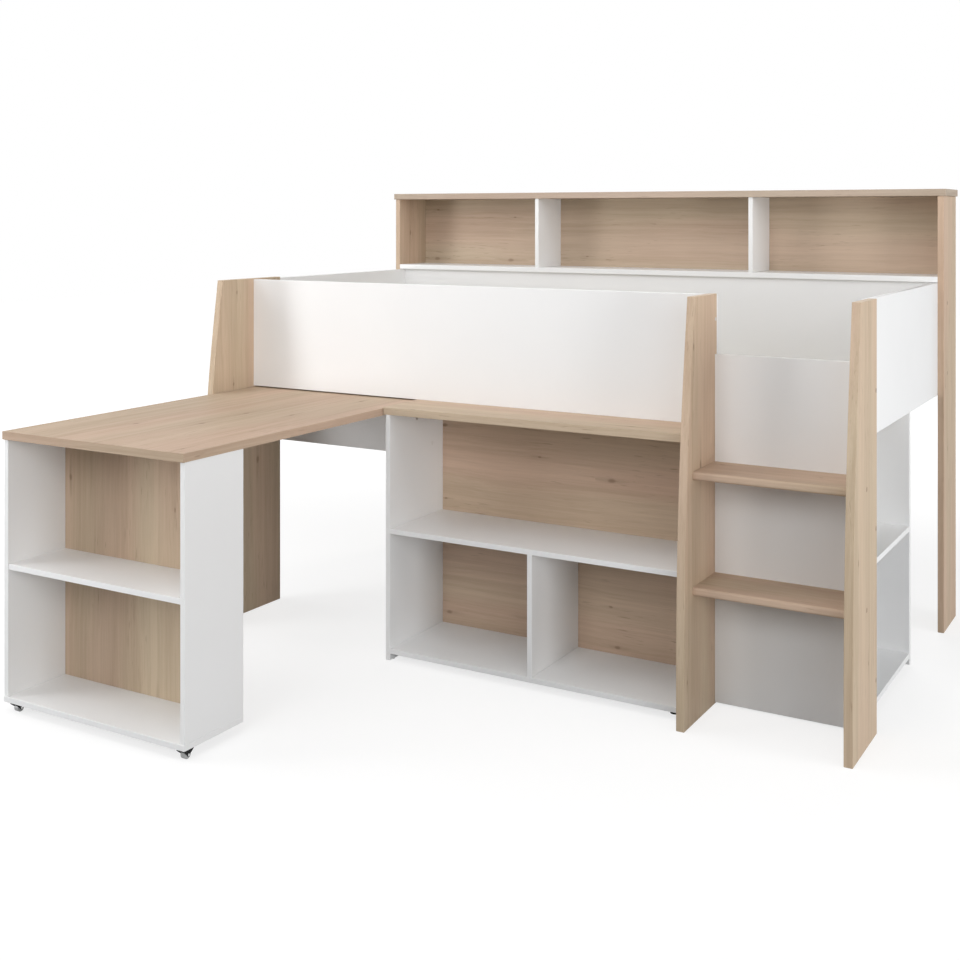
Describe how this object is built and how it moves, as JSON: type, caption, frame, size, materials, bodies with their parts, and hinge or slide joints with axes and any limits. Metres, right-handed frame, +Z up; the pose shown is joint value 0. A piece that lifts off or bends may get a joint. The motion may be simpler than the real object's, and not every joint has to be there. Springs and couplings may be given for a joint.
{
  "type": "mid sleeper bed",
  "caption": "Mid sleeper bed in white and oak board with a side ladder, rear cubby shelf, bookcase, open end unit and a desk on castors that rolls out from under it.",
  "frame": {"origin": "on the floor, under the middle of the bounding box with the desk pulled out", "axes": "+X along the bed towards the ladder, +Y across the bed from the desk to the rear shelf, +Z up"},
  "size_m": [2.098, 2.165, 1.411],
  "materials": {
    "oak_board": "matt wood-grain foil on board",
    "white_board": "satin white foil on board",
    "pine": "planed softwood",
    "dowel_beech": "plain beech",
    "screw_cap": "brown cap on a screw",
    "white_cap": "white cap on a screw",
    "steel": "zinc plated",
    "black_plastic": "moulded",
    "wheel_grey": "smooth, lightly scuffed"
  },
  "bodies": {
    "bed_frame": {"front_left_leg": "oak_board", "ladder_left_leg": "oak_board", "ladder_right_leg": "oak_board", "rear_left_upright": "oak_board", "rear_right_upright": "oak_board", "upper_tread": "oak_board", "lower_tread": "oak_board", "rear_shelf_top": "oak_board", "rear_shelf_back": "oak_board", "fixed_worktop": "oak_board", "bookcase_back_panel": "oak_board", "front_guard": "white_board", "left_end_panel": "white_board", "right_end_panel": "white_board", "rear_side_panel": "white_board", "ladder_panel": "white_board", "rear_shelf_base": "white_board", "rear_shelf_left_divider": "white_board", "rear_shelf_right_divider": "white_board", "bookcase_left_side": "white_board", "bookcase_middle_shelf": "white_board", "bookcase_bottom_shelf": "white_board", "bookcase_divider": "white_board", "end_unit_inner_side": "white_board", "end_unit_rear_panel": "white_board", "end_unit_middle_shelf": "white_board", "end_unit_bottom_shelf": "white_board", "desk_support_rail": "white_board", "front_slat_ledger": "pine", "rear_slat_ledger": "pine", "bed_slats": "pine", "frame_dowels": "dowel_beech", "rear_shelf_dowels": "dowel_beech", "bookcase_dowels": "dowel_beech", "end_unit_dowels": "dowel_beech", "leg_screws": "screw_cap", "upright_screws": "screw_cap", "rail_screws": "white_cap", "guard_bolts": "steel", "guard_barrel_nuts": "steel", "bookcase_cam": "steel", "bookcase_cam_bolt": "steel", "floor_glides": "black_plastic"},
    "desk": {"desk_top": "oak_board", "desk_back_panel": "oak_board", "desk_left_side": "white_board", "desk_right_side": "white_board", "desk_bottom_board": "white_board", "desk_middle_shelf": "white_board", "desk_stop_batten": "pine", "desk_dowels": "dowel_beech", "castor_screws": "steel", "left_castor_fork": "black_plastic", "left_castor_axle": "steel", "right_castor_fork": "black_plastic", "right_castor_axle": "steel"},
    "left_wheel": {"left_castor_wheel": "wheel_grey"},
    "right_wheel": {"right_castor_wheel": "wheel_grey"}
  },
  "joints": [
    {"name": "desk_slide", "type": "slide", "parent": "bed_frame", "child": "desk", "axis": [0, 1, 0], "range_m": [0, 0.854]},
    {"name": "left_wheel_spin", "type": "hinge", "parent": "desk", "child": "left_wheel", "pos_m": [-0.96775, -1.0565, 0.011], "axis": [1, 0, 0], "continuous": true},
    {"name": "right_wheel_spin", "type": "hinge", "parent": "desk", "child": "right_wheel", "pos_m": [-0.37425, -1.0565, 0.011], "axis": [1, 0, 0], "continuous": true}
  ]
}
